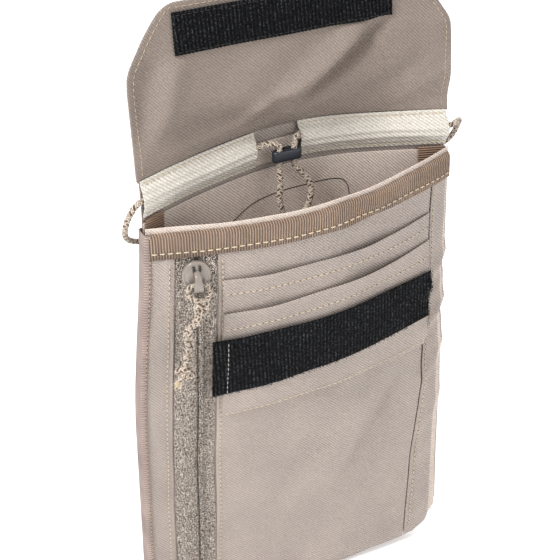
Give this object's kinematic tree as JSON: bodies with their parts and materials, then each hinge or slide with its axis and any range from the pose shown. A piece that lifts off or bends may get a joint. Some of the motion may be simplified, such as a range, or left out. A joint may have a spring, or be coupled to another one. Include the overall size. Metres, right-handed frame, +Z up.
{
  "type": "neck pouch wallet",
  "caption": "Slim twill neck pouch held open, with a fold-over lid, tiered card pockets, a zip pocket, hook-and-loop closure and a braided neck cord run through a cord band.",
  "frame": {"origin": "midway between the two ends of the cord band at the fold, where the neck cord leaves the pouch and holds it up", "axes": "+X towards the wearer's left as seen from the front (the right of the front view), -Y out of the front, +Z up along the pouch to the tip of the raised lid"},
  "size_m": [0.1504, 0.0458, 0.2898],
  "materials": {
    "cloth": "fine twill weave",
    "inner_cloth": "plain lining cloth",
    "tan_tape": "ribbed grosgrain tape",
    "edge_tape": "ribbed edge binding",
    "cream_webbing": "herringbone twill tape",
    "zip_cloth": "woven zip tape and coil",
    "hook_and_loop": "dense black pile",
    "slider_metal": "satin grey paint",
    "cord": "round braid with dark flecks",
    "lock_plastic": "fine matt"
  },
  "bodies": {
    "pouch": {"back_panel": "cloth", "front_left_strip": "cloth", "front_main_panel": "cloth", "front_right_strip": "cloth", "card_pocket_upper": "cloth", "card_pocket_middle": "cloth", "card_pocket_lower": "cloth", "band_hem": "cloth", "lid_fold_outer": "cloth", "back_lining": "inner_cloth", "front_lining": "inner_cloth", "zip_pocket_bag": "inner_cloth", "lid_fold_lining": "inner_cloth", "mouth_binding": "tan_tape", "inner_seam_tape_left": "tan_tape", "inner_seam_tape_right": "tan_tape", "side_binding_left": "edge_tape", "side_binding_right": "edge_tape", "bottom_binding": "edge_tape", "channel_left": "cream_webbing", "channel_right": "cream_webbing", "zip_tape_left": "zip_cloth", "zip_tape_right": "zip_cloth", "zip_coil_left": "zip_cloth", "zip_coil_right": "zip_cloth", "loop_strip": "hook_and_loop", "neck_cord_left": "cord", "neck_cord_right": "cord", "neck_cord_hank": "cord", "neck_cord_hank_tie": "cord", "cord_tail_left": "cord", "cord_tail_right": "cord", "cord_tail_knot": "cord"},
    "lid_lower": {"lid_lower_outer": "cloth", "lid_lower_lining": "inner_cloth"},
    "lid_upper": {"lid_upper_outer": "cloth", "lid_upper_lining": "inner_cloth", "hook_strip": "hook_and_loop"},
    "zip_slider": {"zip_slider_body": "slider_metal", "zip_slider_bridge": "slider_metal"},
    "zip_puller": {"zip_puller_loop": "cord", "zip_puller_knot_upper": "cord", "zip_puller_strand_left": "cord", "zip_puller_strand_right": "cord", "zip_puller_knot_lower": "cord"},
    "cord_lock": {"cord_lock": "lock_plastic"}
  },
  "joints": [
    {"name": "lid_fold", "type": "hinge", "parent": "pouch", "child": "lid_lower", "pos_m": [0, 0.0025, 0.011], "axis": [1, 0, 0], "range_deg": [-30, 110], "deforming": ["lid_fold_outer", "lid_fold_lining"]},
    {"name": "lid_crease", "type": "hinge", "parent": "lid_lower", "child": "lid_upper", "pos_m": [0, 0.0062, 0.04], "axis": [1, 0, 0], "range_deg": [-60, 75]},
    {"name": "zip_slide", "type": "slide", "parent": "pouch", "child": "zip_slider", "axis": [-0.0109, 0.0267, -0.9996], "range_m": [0, 0.158]},
    {"name": "puller_lift", "type": "hinge", "parent": "zip_slider", "child": "zip_puller", "pos_m": [-0.05134, -0.01351, -0.0354], "axis": [-0.9816, 0.1908, 0], "range_deg": [-2, 150]},
    {"name": "cord_lock_slide", "type": "slide", "parent": "pouch", "child": "cord_lock", "axis": [0, 0, -1], "range_m": [0, 0.012], "deforming": ["cord_tail_left", "cord_tail_right"]}
  ]
}
